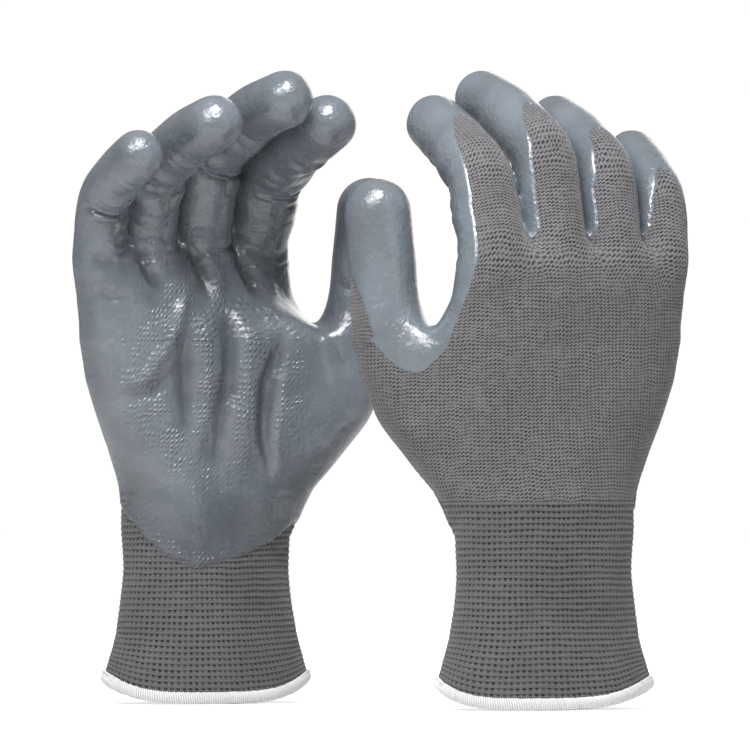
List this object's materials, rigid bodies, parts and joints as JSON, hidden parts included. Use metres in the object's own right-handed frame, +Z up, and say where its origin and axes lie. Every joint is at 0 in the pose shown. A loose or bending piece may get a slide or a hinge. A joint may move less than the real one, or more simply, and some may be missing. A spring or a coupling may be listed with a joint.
{
  "type": "work gloves",
  "caption": "Pair of knitted work gloves with a rubber palm film, elastic cuffs and overlocked hems, standing on the cuffs with half-closed fingers.",
  "frame": {"origin": "on the ground, under the middle of the pair of gloves as they stand on their cuffs", "axes": "+Z up towards the fingertips, +X from the left glove to the right one, +Y away from the front"},
  "size_m": [0.2268, 0.173, 0.2345],
  "materials": {
    "knit_liner": "seamless grey knit",
    "rubber_film": "smooth glossy dipped film",
    "overlock_yarn": "white overlock stitching",
    "elastic_yarn": "covered elastic thread"
  },
  "bodies": {
    "left_glove": {"left_cuff": "knit_liner", "left_hem": "overlock_yarn", "left_elastic_thread": "elastic_yarn", "left_palm_knit": "knit_liner", "left_palm_film": "rubber_film", "left_knuckle_knit": "knit_liner", "left_knuckle_film": "rubber_film", "left_index_sleeve": "knit_liner", "left_middle_sleeve": "knit_liner", "left_ring_sleeve": "knit_liner", "left_little_sleeve": "knit_liner", "left_thumb_sleeve": "knit_liner"},
    "left_index": {"left_index_stall": "knit_liner", "left_index_film": "rubber_film"},
    "left_middle": {"left_middle_stall": "knit_liner", "left_middle_film": "rubber_film"},
    "left_ring": {"left_ring_stall": "knit_liner", "left_ring_film": "rubber_film"},
    "left_little": {"left_little_stall": "knit_liner", "left_little_film": "rubber_film"},
    "left_thumb": {"left_thumb_stall": "knit_liner", "left_thumb_film": "rubber_film"},
    "right_glove": {"right_cuff": "knit_liner", "right_hem": "overlock_yarn", "right_elastic_thread": "elastic_yarn", "right_palm_knit": "knit_liner", "right_palm_film": "rubber_film", "right_knuckle_knit": "knit_liner", "right_knuckle_film": "rubber_film", "right_index_sleeve": "knit_liner", "right_middle_sleeve": "knit_liner", "right_ring_sleeve": "knit_liner", "right_little_sleeve": "knit_liner", "right_thumb_sleeve": "knit_liner"},
    "right_index": {"right_index_stall": "knit_liner", "right_index_film": "rubber_film"},
    "right_middle": {"right_middle_stall": "knit_liner", "right_middle_film": "rubber_film"},
    "right_ring": {"right_ring_stall": "knit_liner", "right_ring_film": "rubber_film"},
    "right_little": {"right_little_stall": "knit_liner", "right_little_film": "rubber_film"},
    "right_thumb": {"right_thumb_stall": "knit_liner", "right_thumb_film": "rubber_film"}
  },
  "joints": [
    {"name": "left_index_bend", "type": "hinge", "parent": "left_glove", "child": "left_index", "pos_m": [-0.04661, 0.0642, 0.16645], "axis": [0.788, 0.6157, 0], "range_deg": [-20, 35], "stiffness_Nm_per_rad": 0.06, "deforming": ["left_index_sleeve"]},
    {"name": "left_middle_bend", "type": "hinge", "parent": "left_glove", "child": "left_middle", "pos_m": [-0.06831, 0.04762, 0.16648], "axis": [0.788, 0.6157, 0], "range_deg": [-20, 35], "stiffness_Nm_per_rad": 0.06, "deforming": ["left_middle_sleeve"]},
    {"name": "left_ring_bend", "type": "hinge", "parent": "left_glove", "child": "left_ring", "pos_m": [-0.08744, 0.0326, 0.16648], "axis": [0.788, 0.6157, 0], "range_deg": [-20, 35], "stiffness_Nm_per_rad": 0.06, "deforming": ["left_ring_sleeve"]},
    {"name": "left_little_bend", "type": "hinge", "parent": "left_glove", "child": "left_little", "pos_m": [-0.10449, 0.01915, 0.16647], "axis": [0.788, 0.6157, 0], "range_deg": [-20, 35], "stiffness_Nm_per_rad": 0.06, "deforming": ["left_little_sleeve"]},
    {"name": "left_thumb_spread", "type": "hinge", "parent": "left_glove", "child": "left_thumb", "pos_m": [-0.00742, 0.05757, 0.14003], "axis": [-0.6157, 0.788, 0], "range_deg": [-10, 25], "stiffness_Nm_per_rad": 0.06, "deforming": ["left_thumb_sleeve"]},
    {"name": "right_index_bend", "type": "hinge", "parent": "right_glove", "child": "right_index", "pos_m": [0.0407, -0.06366, 0.16645], "axis": [-0.866, -0.5, 0], "range_deg": [-20, 35], "stiffness_Nm_per_rad": 0.06, "deforming": ["right_index_sleeve"]},
    {"name": "right_middle_bend", "type": "hinge", "parent": "right_glove", "child": "right_middle", "pos_m": [0.06449, -0.05025, 0.16648], "axis": [-0.866, -0.5, 0], "range_deg": [-20, 35], "stiffness_Nm_per_rad": 0.06, "deforming": ["right_middle_sleeve"]},
    {"name": "right_ring_bend", "type": "hinge", "parent": "right_glove", "child": "right_ring", "pos_m": [0.08553, -0.03804, 0.16648], "axis": [-0.866, -0.5, 0], "range_deg": [-20, 35], "stiffness_Nm_per_rad": 0.06, "deforming": ["right_ring_sleeve"]},
    {"name": "right_little_bend", "type": "hinge", "parent": "right_glove", "child": "right_little", "pos_m": [0.10429, -0.0271, 0.16647], "axis": [-0.866, -0.5, 0], "range_deg": [-20, 35], "stiffness_Nm_per_rad": 0.06, "deforming": ["right_little_sleeve"]},
    {"name": "right_thumb_spread", "type": "hinge", "parent": "right_glove", "child": "right_thumb", "pos_m": [0.00282, -0.05164, 0.14003], "axis": [0.5, -0.866, 0], "range_deg": [-10, 25], "stiffness_Nm_per_rad": 0.06, "deforming": ["right_thumb_sleeve"]},
    {"name": "pair_spacing", "type": "slide", "parent": "left_glove", "child": "right_glove", "axis": [1, 0, 0], "range_m": [0, 0.06]}
  ]
}
